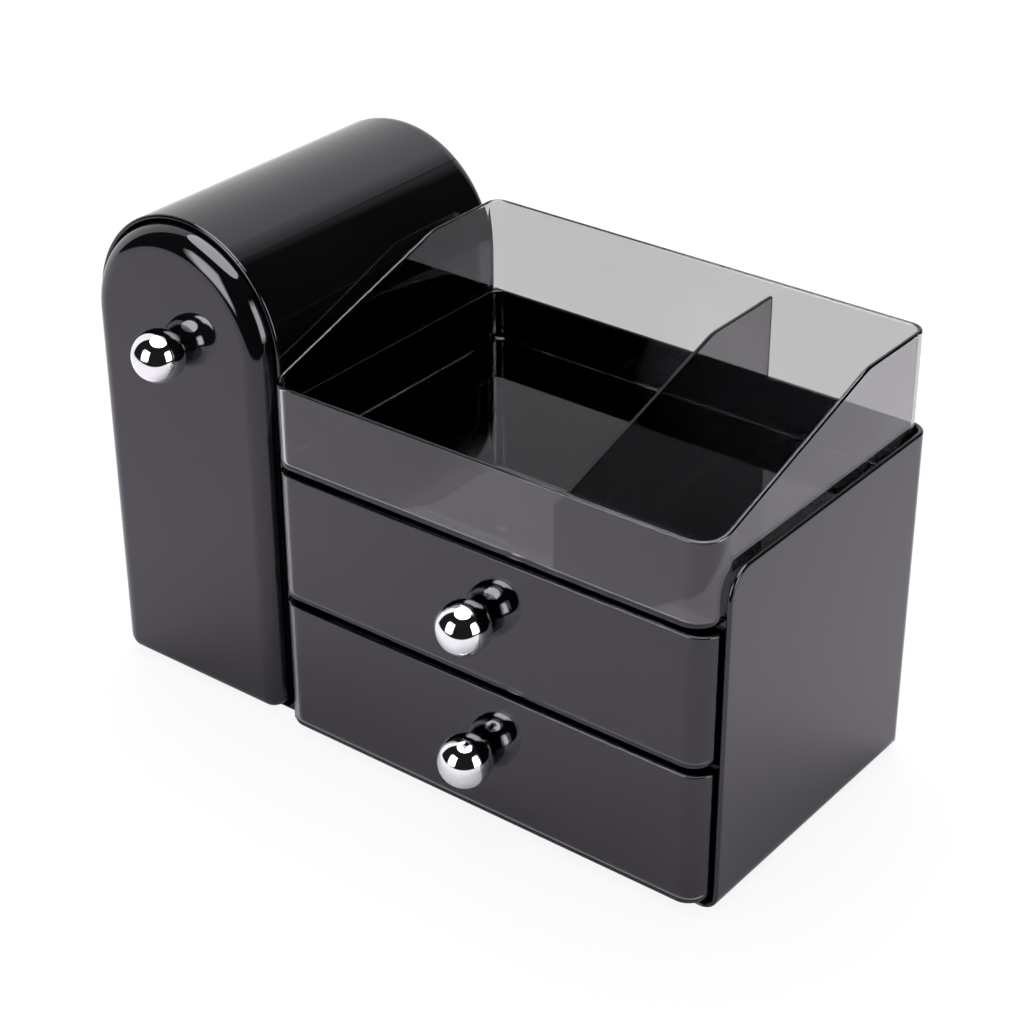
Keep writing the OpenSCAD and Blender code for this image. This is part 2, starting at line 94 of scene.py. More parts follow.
def arch_outline(x0, x1, bottom, left_r, right_r, steps=96):
    """An arch seen from the front, anticlockwise: two bottom corners and the half round."""
    left_r = max(left_r, 0.2)
    right_r = max(right_r, 0.2)
    return (arc(x0 + left_r, bottom + left_r, left_r, 180, 270)
            + arc(x1 - right_r, bottom + right_r, right_r, 270, 360)
            + arc((x0 + x1) / 2, ARCH_Z, (x1 - x0) / 2, 0, 180, steps))


def half_round(steps=10):
    """A rim's section from its outer side to its inner side, for a thickness of 2: how far
    each point is in from the outer side, and how far it stays below the rim's top."""
    angles = [math.radians(180 * i / steps) for i in range(steps + 1)]
    return [(1 - math.cos(a), 1 - math.sin(a)) for a in angles]


def wall_rim():
    """A half round with one point more on each flat side, which keeps the shading of the
    wall flat right up to its rim."""
    below = 1.3
    return [(0.0, below)] + half_round() + [(2.0, below)]


def quarter(r, h):
    """How far a rounded edge of radius r is inset at height h above its start."""
    if h >= r:
        return 0.0
    return r - math.sqrt(r * r - (r - h) * (r - h))


def edge_heights(r, steps=8):
    """Heights that divide a rounded edge into even steps of its arc."""
    return [r * (1 - math.cos(math.radians(90 * i / steps))) for i in range(steps + 1)]


class Form:
    """Lofted skins that together make one mesh."""

    def __init__(self):
        self.points = []
        self.faces = []
        self.skins = []

    def loft(self, rings, around=False):
        """A skin through closed rings with one count of points, with a cap at both ends, or
        around from the last ring to the first one."""
        start = len(self.points)
        n = len(rings[0])
        for ring in rings:
            self.points += [place(*p) for p in ring]
        self.skins.append((start, len(self.points)))
        for i in range(len(rings) - 1 + around):
            low = start + i * n
            high = start + (i + 1) % len(rings) * n
            for j in range(n):
                k = (j + 1) % n
                self.faces.append((low + j, low + k, high + k, high + j))
        if not around:
            end = start + (len(rings) - 1) * n
            self.faces.append(tuple(range(start + n - 1, start - 1, -1)))
            self.faces.append(tuple(range(end, end + n)))

    def turned(self, x, z, profile, steps=24):
        """A shape turned about an axis that runs front to back; profile lists (radius, y)."""
        last = 360 - 360 / steps
        rings = []
        for r, y in profile:
            rings.append([(px, y, pz) for px, pz in arc(x, z, r, 0, last, steps - 1)])
        self.loft(rings)

    def bar(self, x, y, z, soft=0.3):
        """A bar whose four upright edges and whose top are softened."""
        rings = []
        for inset, height in ((0, z[0]), (0, z[1] - soft), (soft * 0.3, z[1] - soft * 0.3),
                              (soft, z[1])):
            outline = rounded_rect(x[0] + inset, x[1] - inset, y[0] + inset, y[1] - inset,
                                   [soft] * 4)
            rings.append([(px, py, height) for px, py in outline])
        self.loft(rings)

    def runners(self, lefts, front):
        """The two low bars on a base that a drawer slides on."""
        for left in lefts:
            self.bar((left, left + 5), (front, 120.0), (1.4, 4.2))

    def build(self, name, body, node, material):
        """The mesh as a smooth shaded piece that replaces its node and rides its body."""
        mesh = bpy.data.meshes.new(name)
        mesh.from_pydata(self.points, [], self.faces)
        work = bmesh.new()
        work.from_mesh(mesh)
        work.verts.ensure_lookup_table()
        # each skin is welded to itself alone, so that its shading stays its own
        for skin in [work.verts[start:end] for start, end in self.skins]:
            bmesh.ops.remove_doubles(work, verts=skin, dist=1e-6)
        bmesh.ops.recalc_face_normals(work, faces=work.faces)
        work.to_mesh(mesh)
        work.free()
        mesh.polygons.foreach_set("use_smooth", [True] * len(mesh.polygons))
        mesh.set_sharp_from_angle(angle=math.radians(40))
        piece = bpy.data.objects.new(name, mesh)
        bpy.context.scene.collection.objects.link(piece)
        mesh.materials.append(material)
        weighted = piece.modifiers.new("even_shading", "WEIGHTED_NORMAL")
        weighted.keep_sharp = True
        weighted.weight = 80
        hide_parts(node)
        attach(piece, body)


# ---------------------------------------------------------------- materials

# The violet cast of the plastics' gloss
SHEEN = (0.93, 0.88, 1.0, 1)


def shader(name):
    """A new material with its node tree and its Principled BSDF."""
    material = bpy.data.materials.new(name)
    material.use_nodes = True
    tree = material.node_tree
    return material, tree, tree.nodes["Principled BSDF"]


def noise(tree, scale, detail, stretch=(1, 1, 1)):
    """Noise over the piece's own coordinates, in metres, stretched along its axes."""
    where = tree.nodes.new("ShaderNodeTexCoord")
    mapping = tree.nodes.new("ShaderNodeMapping")
    mapping.inputs["Scale"].default_value = stretch
    texture = tree.nodes.new("ShaderNodeTexNoise")
    texture.inputs["Scale"].default_value = scale
    texture.inputs["Detail"].default_value = detail
    tree.links.new(where.outputs["Object"], mapping.inputs["Vector"])
    tree.links.new(mapping.outputs["Vector"], texture.inputs["Vector"])
    return texture.outputs["Fac"]


def spread(tree, value, low, high):
    """A noise value taken to the range low to high."""
    node = tree.nodes.new("ShaderNodeMapRange")
    node.inputs["From Min"].default_value = 0.3
    node.inputs["From Max"].default_value = 0.7
    node.inputs["To Min"].default_value = low
    node.inputs["To Max"].default_value = high
    tree.links.new(value, node.inputs["Value"])
    return node.outputs["Result"]


def ramp(tree, value, low, high):
    """Colours from low to high along a noise value."""
    node = tree.nodes.new("ShaderNodeValToRGB")
    node.color_ramp.elements[0].position = 0.35
    node.color_ramp.elements[1].position = 0.65
    node.color_ramp.elements[0].color = (*low, 1)
    node.color_ramp.elements[1].color = (*high, 1)
    tree.links.new(value, node.inputs["Fac"])
    return node.outputs["Color"]


def bump(tree, height, strength, distance):
    """A normal raised by a height between 0 and 1, distance metres at most."""
    node = tree.nodes.new("ShaderNodeBump")
    node.inputs["Strength"].default_value = strength
    node.inputs["Distance"].default_value = distance
    tree.links.new(height, node.inputs["Height"])
    return node.outputs["Normal"]


def gloss_plastic(name, low, high, rough):
    """Opaque moulded plastic with a high gloss: faint flow marks and a hint of waviness."""
    material, tree, bsdf = shader(name)
    bsdf.inputs["IOR"].default_value = 1.62
    bsdf.inputs["Specular Tint"].default_value = SHEEN
    flow = noise(tree, 9.0, 3.0, (1, 1, 0.35))
    fine = noise(tree, 60.0, 3.0)
    waves = noise(tree, 14.0, 1.0)
    tree.links.new(ramp(tree, flow, low, high), bsdf.inputs["Base Color"])
    tree.links.new(spread(tree, fine, rough * 0.85, rough * 1.2), bsdf.inputs["Roughness"])
    tree.links.new(bump(tree, waves, 0.03, 0.0003), bsdf.inputs["Normal"])
    return material


def smoke_plastic(name, tint, ior, rough):
    """Clear plastic tinted like smoke, its gloss a little uneven from the mould."""
    material, tree, bsdf = shader(name)
    bsdf.inputs["Transmission Weight"].default_value = 1.0
    bsdf.inputs["IOR"].default_value = ior
    bsdf.inputs["Specular Tint"].default_value = SHEEN
    fine = noise(tree, 60.0, 3.0)
    flow = noise(tree, 7.0, 2.0)
    low = [value * 0.97 for value in tint]
    tree.links.new(spread(tree, fine, rough * 0.6, rough * 1.4), bsdf.inputs["Roughness"])
    tree.links.new(ramp(tree, flow, low, tint), bsdf.inputs["Base Color"])
    return material


def matt_plastic(name, low, high, rough):
    """Inner plastic with the fine, even grain of a spark-eroded mould."""
    material, tree, bsdf = shader(name)
    bsdf.inputs["IOR"].default_value = 1.5
    grain = noise(tree, 1800.0, 6.0)
    clouds = noise(tree, 40.0, 3.0)
    tree.links.new(ramp(tree, clouds, low, high), bsdf.inputs["Base Color"])
    tree.links.new(spread(tree, grain, rough * 0.85, rough * 1.15), bsdf.inputs["Roughness"])
    tree.links.new(bump(tree, grain, 0.25, 0.0001), bsdf.inputs["Normal"])
    return material


def metal(name, low, high, rough, stretch):
    """Polished or plated metal with fine haze; stretch draws the haze out along an axis."""
    material, tree, bsdf = shader(name)
    bsdf.inputs["Metallic"].default_value = 1.0
    haze = noise(tree, 260.0, 5.0, stretch)
    tree.links.new(ramp(tree, haze, low, high), bsdf.inputs["Base Color"])
    tree.links.new(spread(tree, haze, rough * 0.6, rough * 1.5), bsdf.inputs["Roughness"])
    return material


def rubber(name, low, high):
    """Black rubber with a dusty, pebbled surface."""
    material, tree, bsdf = shader(name)
    pebble = noise(tree, 900.0, 3.0)
    tree.links.new(ramp(tree, pebble, low, high), bsdf.inputs["Base Color"])
    tree.links.new(spread(tree, pebble, 0.7, 0.9), bsdf.inputs["Roughness"])
    tree.links.new(bump(tree, pebble, 0.5, 0.0001), bsdf.inputs["Normal"])
    return material


BLACK = gloss_plastic("black_shell", low=(0.0028, 0.0026, 0.0030),
                      high=(0.0046, 0.0043, 0.0048), rough=0.06)
FRONT_BLACK = gloss_plastic("black_front", low=(0.003, 0.0028, 0.0032),
                            high=(0.0045, 0.0042, 0.0047), rough=0.05)
DRAWER_SMOKE = smoke_plastic("smoke_drawer", tint=(0.22, 0.21, 0.225), ior=1.58, rough=0.012)
TRAY_SMOKE = smoke_plastic("smoke_tray", tint=(0.56, 0.55, 0.56), ior=1.55, rough=0.006)
DIVIDER_SMOKE = smoke_plastic("smoke_divider", tint=(0.25, 0.24, 0.255), ior=1.45,
                              rough=0.006)
INNER_BLACK = matt_plastic("inner_black", low=(0.018, 0.017, 0.019),
                           high=(0.026, 0.025, 0.027), rough=0.42)
CHROME = metal("knob_chrome", low=(0.86, 0.86, 0.88), high=(0.93, 0.93, 0.94), rough=0.035,
               stretch=(1, 1, 1))
ZINC = metal("zinc_screw", low=(0.50, 0.50, 0.50), high=(0.68, 0.68, 0.67), rough=0.32,
             stretch=(1, 4, 1))
RUBBER = rubber("foot_rubber", low=(0.018, 0.018, 0.019), high=(0.035, 0.034, 0.034))


# ---------------------------------------------------------------- the tower

def tower_shell():
    """The arched tube with its round front rim, its soft back edge and the mould's parting
    line along both sides of the arch; bosses inside its back and runners on its base."""
    form = Form()
    rim_y = 3.0
    back_inset = 1.9
    back_round = 5
    # the lower left corner is round on both sides of the wall, the right one inside alone
    outer_r = BASE_EDGE_R
    inner_r = 5.3
    # the parting line is seam_step of the arch's steps from either foot, groove deep and
    # twice as wide
    arch_steps = 90
    seam_step = 26
    groove = 0.16

    def ring(inset, y):
        """The outline at y, inset from the outer side of the wall."""
        low = inset * BASE_T / SHELL_T
        outline = arch_outline(inset, TOWER_W - inset, low, outer_r - inset,
                               inset * inner_r / SHELL_T, arch_steps)
        first = len(outline) - arch_steps - 1
        for k in (first + arch_steps - seam_step, first + seam_step):
            px, pz = outline[k]
            away = Vector((px - ARCH_X, pz - ARCH_Z))
            near = away * (1 - groove / away.length)
            side = Vector((-away.y, away.x)).normalized() * groove
            outline[k:k + 1] = [(px - side.x, pz - side.y), (ARCH_X + near.x, ARCH_Z + near.y),
                                (px + side.x, pz + side.y)]
        return [(px, y, pz) for px, pz in outline]

    rings = []
    for i in range(7):
        a = math.radians(90 - 15 * i)
        rings.append(ring(back_inset * (1 - math.cos(a)),
                          BODY_BACK - back_round + back_round * math.sin(a)))
    for across, below in half_round():
        rings.append(ring(across * SHELL_T / 2, rim_y + below * SHELL_T / 2))
    rings.append(ring(SHELL_T, BODY_BACK))
    form.loft(rings, around=True)
    form.runners((17.2, 75.8), front=8.3)
    for x in (5.0, 93.0):
        for z in (14.7, 155.8):
            form.turned(x, z, [(3.3, 126.6), (3.6, 126.9), (3.6, 135.6), (1.3, 135.6),
                               (1.3, 127.6)])
    form.build("tower_tube", "housing", "tower_shell", BLACK)


def tower_front():
    """The tower drawer's arched front: a shell rolled back along its sides and its arch, with
    a smaller round along the bottom, and bosses behind it."""
    left = 3
    right = 95
    bottom = 2.4
    corner_r = 7.5
    face_corner_r = 0.5
    roll = 9.0
    sill = 4.5
    skin = 2.0
    face = -5.0
    back = 8.0
    form = Form()

    def ring(inset, low, y):
        """The outline at y, inset from the panel's sides and low from its bottom."""
        corner = max(corner_r - inset * (corner_r - face_corner_r) / roll, 0.4)
        outline = arch_outline(left + inset, right - inset, bottom + low, corner, corner)
        return [(x, y, z) for x, z in outline]

    # one ring more inside the flat face keeps its shading flat
    rings = [ring(roll + 0.4, sill + 0.4, face)]
    for i in range(17):
        a = math.radians(90 * i / 16)
        depth = roll * (1 - math.cos(a))
        rings.append(ring(roll * (1 - math.sin(a)), quarter(sill, depth), face + depth))
    for across, below in half_round(8):
        inset = across * skin / 2
        rings.append(ring(inset, inset, back - below * skin / 2))
    inner = roll - skin
    for i in range(9):
        a = math.radians(90 - 90 * i / 8)
        depth = inner * (1 - math.cos(a))
        rings.append(ring(roll - inner * math.sin(a), skin + quarter(sill - skin, depth),
                          face + skin + depth))
    form.loft(rings)
    boss = [(3.9, face + skin - 0.2), (3.6, face + skin + 0.6), (3.6, back - 0.3), (3.3, back),
            (1.5, back), (1.3, back - 0.2), (1.3, 1.0)]
    for x in (24.5, 73.5):
        for z in (27.95, 75.45):
            form.turned(x, z, boss)
    form.build("arched_front", "tower_drawer", "tower_drawer_front", FRONT_BLACK)


def knob(name, body, node, x, z, face):
    """A chromed ball with a small flat seat against the face behind it."""
    radius = 11.0
    seat = 8.8
    seat_r = math.sqrt(radius * radius - seat * seat)
    centre = face - seat
    profile = [(seat_r - 0.35, face), (seat_r - 0.1, face - 0.05)]
    # angles on the ball, in degrees: from just beyond the seat almost to the ball's front
    seat_angle = math.degrees(math.asin(seat / radius))
    first = seat_angle - 1.5
    sweep = seat_angle + 88.3
    steps = 44
    for i in range(steps + 1):
        a = math.radians(first - sweep * i / steps)
        profile.append((radius * math.cos(a), centre + radius * math.sin(a)))
    form = Form()
    form.turned(x, z, profile, 96)
    form.build(name, body, node, CHROME)


# ---------------------------------------------------------------- the cabinet

WALL_TOP = 148.1
BACK_CORNER_R = 8
BACK_CORNER_Y = BODY_BACK - BACK_CORNER_R

# Where the side walls end and the back wall's skin begins
SIDE_END = 126.0


def side_wall(form, outer, inner, bottom):
    """A side wall of the cabinet in front of its back corner, with a round rim that runs up
    its front edge, around the top corner and back along its top."""
    corner = 12.0
    rings = []
    for across, below in wall_rim():
        x = outer + (inner - outer) * across / 2
        inset = below * SHELL_T / 2
        rim = arc(corner, WALL_TOP - corner, corner - inset, 180, 90, 16)
        rings.append([(x, inset, bottom)] + [(x, y, z) for y, z in rim]
                     + [(x, SIDE_END, WALL_TOP - inset), (x, SIDE_END, bottom)])
    form.loft(rings)


def cabinet_floor(form):
    """The base and the rounded edge that takes it up into the right wall, with a round front."""
    left = 100.0
    edge_x = CABINET_RIGHT - BASE_EDGE_R
    inner_r = 5.3
    inner_z = 7.1
    half_base = BASE_T / 2
    front_round = 1.1
    corner_x = CABINET_RIGHT - BACK_CORNER_R

    def ring(thin, y):
        """The section at y; thin runs from 0, the full section, to 1, its middle line."""
        past = max(y - BACK_CORNER_Y, 0)
        reach = corner_x + math.sqrt(max(BACK_CORNER_R ** 2 - past ** 2, 0))
        outer = [(left, half_base * thin)]
        inner = [(left, BASE_T - half_base * thin)]
        for i in range(13):
            a = math.radians(270 + 7.5 * i)
            squeeze = thin * (half_base + 0.2 * i / 12)
            outer.append((edge_x + (BASE_EDGE_R - squeeze) * math.cos(a),
                          BASE_EDGE_R + (BASE_EDGE_R - squeeze) * math.sin(a)))
            inner.append((edge_x + (inner_r + squeeze) * math.cos(a),
                          inner_z + (inner_r + squeeze) * math.sin(a)))
        inner.append((CABINET_RIGHT - SHELL_T + SHELL_T / 2 * thin, BASE_EDGE_R))
        return [(min(x, reach), y, z) for x, z in outer + inner[::-1]]

    rings = []
    for i in range(7):
        a = math.radians(15 * i)
        rings.append(ring(1 - 0.999 * math.sin(a), front_round * (1 - math.cos(a))))
    for i in range(9):
        rings.append(ring(0, BACK_CORNER_Y + BACK_CORNER_R * math.sin(math.radians(90 * i / 8))))
    form.loft(rings)


def cabinet_back(form):
    """The back wall and its corners: square outside on the left, rounded elsewhere."""
    r = BACK_CORNER_R
    inner_r = r - SHELL_T
    mid_y = BACK_CORNER_Y
    left_x = CABINET_LEFT + r
    right_x = CABINET_RIGHT - r
    # a point outside, the point inside across the wall from it, and the wall's lower end
    stations = [((CABINET_LEFT, SIDE_END), (CABINET_LEFT + SHELL_T, SIDE_END), BASE_T)]
    for i in range(13):
        a = math.radians(180 - 7.5 * i)
        if i < 7:
            outside = (CABINET_LEFT, mid_y + r * i / 6)
        else:
            outside = (CABINET_LEFT + r * (i - 6) / 6, BODY_BACK)
        inside = (left_x + inner_r * math.cos(a), mid_y + inner_r * math.sin(a))
        stations.append((outside, inside, BASE_T))
    stations.append(((right_x, BODY_BACK), (right_x, BODY_BACK - SHELL_T), BASE_T))
    for i in range(13):
        a = math.radians(90 - 7.5 * i)
        outside = (right_x + r * math.cos(a), mid_y + r * math.sin(a))
        inside = (right_x + inner_r * math.cos(a), mid_y + inner_r * math.sin(a))
        stations.append((outside, inside, BASE_EDGE_R))
    stations.append(((CABINET_RIGHT, SIDE_END), (CABINET_RIGHT - SHELL_T, SIDE_END),
                     BASE_EDGE_R))
    rings = []
    for (out_x, out_y), (in_x, in_y), low in stations:
        ring = [(out_x, out_y, low)]
        for across, below in wall_rim():
            k = across / 2
            ring.append((out_x + (in_x - out_x) * k, out_y + (in_y - out_y) * k,
                         WALL_TOP - below * SHELL_T / 2))
        ring.append((in_x, in_y, low))
        rings.append(ring)
    form.loft(rings)


def cabinet_shell():
    """The open-topped cabinet with its round rims, and the runners on its base."""
    form = Form()
    side_wall(form, CABINET_LEFT, CABINET_LEFT + SHELL_T, 0.0)
    side_wall(form, CABINET_RIGHT, CABINET_RIGHT - SHELL_T, BASE_EDGE_R)
    cabinet_floor(form)
    cabinet_back(form)
    form.runners((115.2, 287.8), front=2.0)
    form.build("cabinet_walls", "housing", "cabinet_shell", BLACK)


# ---------------------------------------------------------------- drawers and tray

def tub(form, y, bottom, rim, wall, side_r, end_r, radii, stops=()):
    """An open box moulded in one piece, with a rolled rim. rim gives the rim's height at a
    y, side_r and end_r round the lower edges and radii the four upright corners."""

    def ring(dx, dy, height):
        inset = max(dx, dy)
        outline = rounded_rect(TUB_X[0] + dx, TUB_X[1] - dx, y[0] + dy, y[1] - dy,
                               [r - inset for r in radii], stops)
        return [(px, py, height(py)) for px, py in outline]

    rings = []
    for h in edge_heights(side_r):
        rings.append(ring(quarter(side_r, h), quarter(end_r, h), lambda y, h=h: bottom + h))
    for across, below in half_round():
        inset = across * wall / 2
        rings.append(ring(inset, inset, lambda y, drop=below * wall / 2: rim(y) - drop))
    inner_side = side_r - wall
    inner_end = max(end_r - wall, 0.8)
    for h in reversed(edge_heights(inner_side, 6)):
        rings.append(ring(wall + quarter(inner_side, h), wall + quarter(inner_end, h),
                          lambda y, h=h: bottom + wall + h))
    form.loft(rings)


def drawer(name, body, node, bottom, height):
    """A drawer in smoke-tinted plastic."""
    form = Form()
    tub(form, (TUB_FRONT, 120.0), bottom, lambda y: bottom + height, wall=1.8, side_r=4.3,
        end_r=1.8, radii=(9, 10, 5, 5))
    form.build(name, body, node, DRAWER_SMOKE)


TRAY_Z = 125.1
TRAY_BACK = 135.0
TRAY_WALL = 2.0


def tray_rim(y):
    """Height of the tray's rim: level in front, a long rise, and level again at the back."""
    rise_from = -2.6
    rise_to = 92.0
    low = TRAY_Z + 36.2
    high = TRAY_Z + 65.5
    bend = 3.0
    slope = (high - low) / (rise_to - rise_from)
    if y < rise_from - bend:
        return low
    if y < rise_from + bend:
        return low + slope * (y - rise_from + bend) ** 2 / (4 * bend)
    if y > rise_to + bend:
        return high
    if y > rise_to - bend:
        return high - slope * (rise_to + bend - y) ** 2 / (4 * bend)
    return low + slope * (y - rise_from)


def tray():
    """The lift-out tray in clear smoke plastic, with sides that rise towards the back."""
    form = Form()
    # points along the sides, behind the front corners and where the rim bends at the back
    stops = [4.5 + i for i in range(4)] + [88.5 + i for i in range(8)]
    tub(form, (TUB_FRONT, TRAY_BACK), TRAY_Z, tray_rim, wall=TRAY_WALL, side_r=4.3, end_r=1.6,
        radii=(9, 12, 6.5, 6.5), stops=stops)
    form.build("clear_tray", "tray", "tray", TRAY_SMOKE)


def divider():
    """The tray's cross wall, with softened edges, whose top follows the tray's rim."""
    x0 = 238.0
    x1 = 239.8
    gap = 0.15
    y0 = TUB_FRONT + TRAY_WALL + gap
    y1 = TRAY_BACK - TRAY_WALL - gap
    # the CAD tray's floor has a groove of this depth for the divider's foot
    foot = 0.8
    bottom = TRAY_Z + TRAY_WALL - foot
    below_rim = 6.0
    soft = 0.35
    # its sections from front to back, close together where the rim bends
    ys = [y0, y0 + soft] + [-5.4 + 0.8 * i for i in range(8)] + [88.5 + i for i in range(8)]
    ys += [y1 - soft, y1]
    form = Form()
    rings = []
    for y in ys:
        inset = soft if y in (y0, y1) else 0.0
        top = tray_rim(y) - below_rim - inset
        low = bottom + inset
        xa = x0 + inset
        xb = x1 - inset
        rings.append([(xa + soft, y, low), (xb - soft, y, low), (xb, y, low + soft),
                      (xb, y, top - soft), (xb - soft, y, top), (xa + soft, y, top),
                      (xa, y, top - soft), (xa, y, low + soft)])
    form.loft(rings)
    form.build("clear_divider", "tray_divider", "tray_divider", DIVIDER_SMOKE)


# ---------------------------------------------------------------- nodes kept from the CAD model

def dress(node, material, edge):
    """A CAD node in its material, with softened edges that catch the light."""
    piece = frame["nodes"][node]
    piece.data.materials.clear()
    piece.data.materials.append(material)
    weld = piece.modifiers.new("weld", "WELD")
    weld.merge_threshold = 1e-6
    planar = piece.modifiers.new("flat_faces", "DECIMATE")
    planar.decimate_type = "DISSOLVE"
    planar.angle_limit = math.radians(0.6)
    soft = piece.modifiers.new("soft_edges", "BEVEL")
    soft.width = edge / 1000
    soft.segments = 3
    soft.limit_method = "ANGLE"
    soft.angle_limit = math.radians(32)
    soft.use_clamp_overlap = True
    weighted = piece.modifiers.new("even_shading", "WEIGHTED_NORMAL")
    weighted.keep_sharp = False
    weighted.weight = 80


# The material of each kept node, and the millimetres that its edges are softened by
KEPT = {
    "tower_back_panel": (BLACK, 0.4),
    "drawer_shelf": (BLACK, 0.3),
    "tray_shelf": (BLACK, 0.3),
    "brush_caddy": (INNER_BLACK, 0.4),
    "caddy_long_divider": (INNER_BLACK, 0.3),
    "caddy_cross_divider": (INNER_BLACK, 0.3),
    "tower_drawer_stop": (INNER_BLACK, 0.3),
    "upper_drawer_stop": (INNER_BLACK, 0.3),
    "lower_drawer_stop": (INNER_BLACK, 0.3),
    "back_panel_screws": (ZINC, 0.15),
    "tower_front_screws": (ZINC, 0.15),
    "joining_rivets": (ZINC, 0.2),
    "tower_knob_screw": (ZINC, 0.2),
    "upper_knob_screw": (ZINC, 0.2),
    "lower_knob_screw": (ZINC, 0.2),
    "tower_front_foot": (RUBBER, 0.25),
    "tower_back_foot": (RUBBER, 0.25),
    "middle_front_foot": (RUBBER, 0.25),
    "middle_back_foot": (RUBBER, 0.25),
    "cabinet_front_foot": (RUBBER, 0.25),
    "cabinet_back_foot": (RUBBER, 0.25),
}


# ---------------------------------------------------------------- studio materials

def maths(tree, operation, a, b):
    """A maths node's result for two operands, each of them a socket or a number."""
    node = tree.nodes.new("ShaderNodeMath")
    node.operation = operation
    for operand, socket in zip((a, b), node.inputs):
        if isinstance(operand, float):
            socket.default_value = operand
        else:
            tree.links.new(operand, socket)
    return node.outputs[0]


def seen_by(tree, camera, glossy, transmission):
    """A strength for each of these kinds of ray, and 0 for every other kind."""
    path = tree.nodes.new("ShaderNodeLightPath")
    from_camera = maths(tree, "MULTIPLY", path.outputs["Is Camera Ray"], camera)
    from_gloss = maths(tree, "MULTIPLY", path.outputs["Is Glossy Ray"], glossy)
    through = maths(tree, "MULTIPLY", path.outputs["Is Transmission Ray"], transmission)
    return maths(tree, "MAXIMUM", maths(tree, "MAXIMUM", from_camera, from_gloss), through)


def reflected(tree):
    """1 for the rays that have met a gloss on their way, also where they then pass through
    clear plastic."""
    path = tree.nodes.new("ShaderNodeLightPath")
    return maths(tree, "GREATER_THAN", path.outputs["Glossy Depth"], 0.5)


def few_walls(tree):
    """1 for the rays that have passed two surfaces of clear plastic at most."""
    path = tree.nodes.new("ShaderNodeLightPath")
    return maths(tree, "LESS_THAN", path.outputs["Transmission Depth"], 2.5)


def plain_tree(name):
    """A new material with an empty tree, and its output's surface socket."""
    material = bpy.data.materials.new(name)
    material.use_nodes = True
    tree = material.node_tree
    tree.nodes.clear()
    out = tree.nodes.new("ShaderNodeOutputMaterial")
    return material, tree, out.inputs["Surface"]


def diffuse(tree, colour):
    """A matt surface."""
    node = tree.nodes.new("ShaderNodeBsdfDiffuse")
    node.inputs["Color"].default_value = (*colour, 1)
    return node.outputs[0]


def both(tree, first, second):
    """Two shaders added together."""
    node = tree.nodes.new("ShaderNodeAddShader")
    tree.links.new(first, node.inputs[0])
    tree.links.new(second, node.inputs[1])
    return node.outputs[0]


def blend(tree, share, first, second):
    """The first shader, and the second one to the extent of share."""
    node = tree.nodes.new("ShaderNodeMixShader")
    tree.links.new(share, node.inputs[0])
    tree.links.new(first, node.inputs[1])
    tree.links.new(second, node.inputs[2])
    return node.outputs[0]


def floor_material(name, shade, glow, matt):
    """A white floor. The camera and clear plastic see a glow with a little of the lamps'
    light and shade. Gloss and bounced light see a matt floor with a faint violet cast, and
    gloss sees a faint glow on it."""
    material, tree, surface = plain_tree(name)
    faint = tree.nodes.new("ShaderNodeEmission")
    tree.links.new(seen_by(tree, 0.0, 0.12, 0.0), faint.inputs["Strength"])
    light = tree.nodes.new("ShaderNodeEmission")
    light.inputs["Strength"].default_value = glow
    plain = both(tree, diffuse(tree, (matt, matt * 0.96, matt * 1.04)), faint.outputs[0])
    shaded = both(tree, diffuse(tree, (shade, shade, shade)), light.outputs[0])
    tree.links.new(blend(tree, seen_by(tree, 1.0, 0.0, 1.0), plain, shaded), surface)
    return material


def card_material(name, strength, lamp_card=False):
    """An even glow of one strength, see-through where nothing has reflected the ray and
    where the mesh's cover fades. A lamp's card doesn't show through several clear walls."""
    material, tree, surface = plain_tree(name)
    glow = tree.nodes.new("ShaderNodeEmission")
    glow.inputs["Strength"].default_value = strength
    clear = tree.nodes.new("ShaderNodeBsdfTransparent")
    cover = tree.nodes.new("ShaderNodeAttribute")
    cover.attribute_name = "cover"
    shown = maths(tree, "MULTIPLY", cover.outputs["Fac"], reflected(tree))
    if lamp_card:
        shown = maths(tree, "MULTIPLY", shown, few_walls(tree))
    tree.links.new(blend(tree, shown, clear.outputs[0], glow.outputs[0]), surface)
    return material


# ---------------------------------------------------------------- studio pieces

def stage_mesh(name, points, faces, material, fade=None):
    """A stage object of plain faces; fade is each point's share of a card's cover."""
    mesh = bpy.data.meshes.new(name)
    mesh.from_pydata(points, [], faces)
    mesh.materials.append(material)
    cover = mesh.attributes.new("cover", "FLOAT", "POINT")
    cover.data.foreach_set("value", fade or [1.0] * len(points))
    piece = bpy.data.objects.new(name, mesh)
    bpy.context.scene.collection.objects.link(piece)
    return piece


def card(name, points, faces, material, fade=None):
    """A studio card that shows in reflections alone, so that it throws no light or shadow."""
    piece = stage_mesh(name, points, faces, material, fade)
    piece.visible_camera = False
    piece.visible_diffuse = False
    piece.visible_shadow = False
    piece.visible_volume_scatter = False


def floor():
    """A plain white floor."""
    size = 6.0
    points = [(-size, -size, 0), (size, -size, 0), (size, size, 0), (-size, size, 0)]
    material = floor_material("floor_white", shade=0.12, glow=0.90, matt=0.78)
    stage_mesh("floor", points, [(0, 1, 2, 3)], material)


DARK_RADIUS = 2.4
DARK_GLOW = 0.012


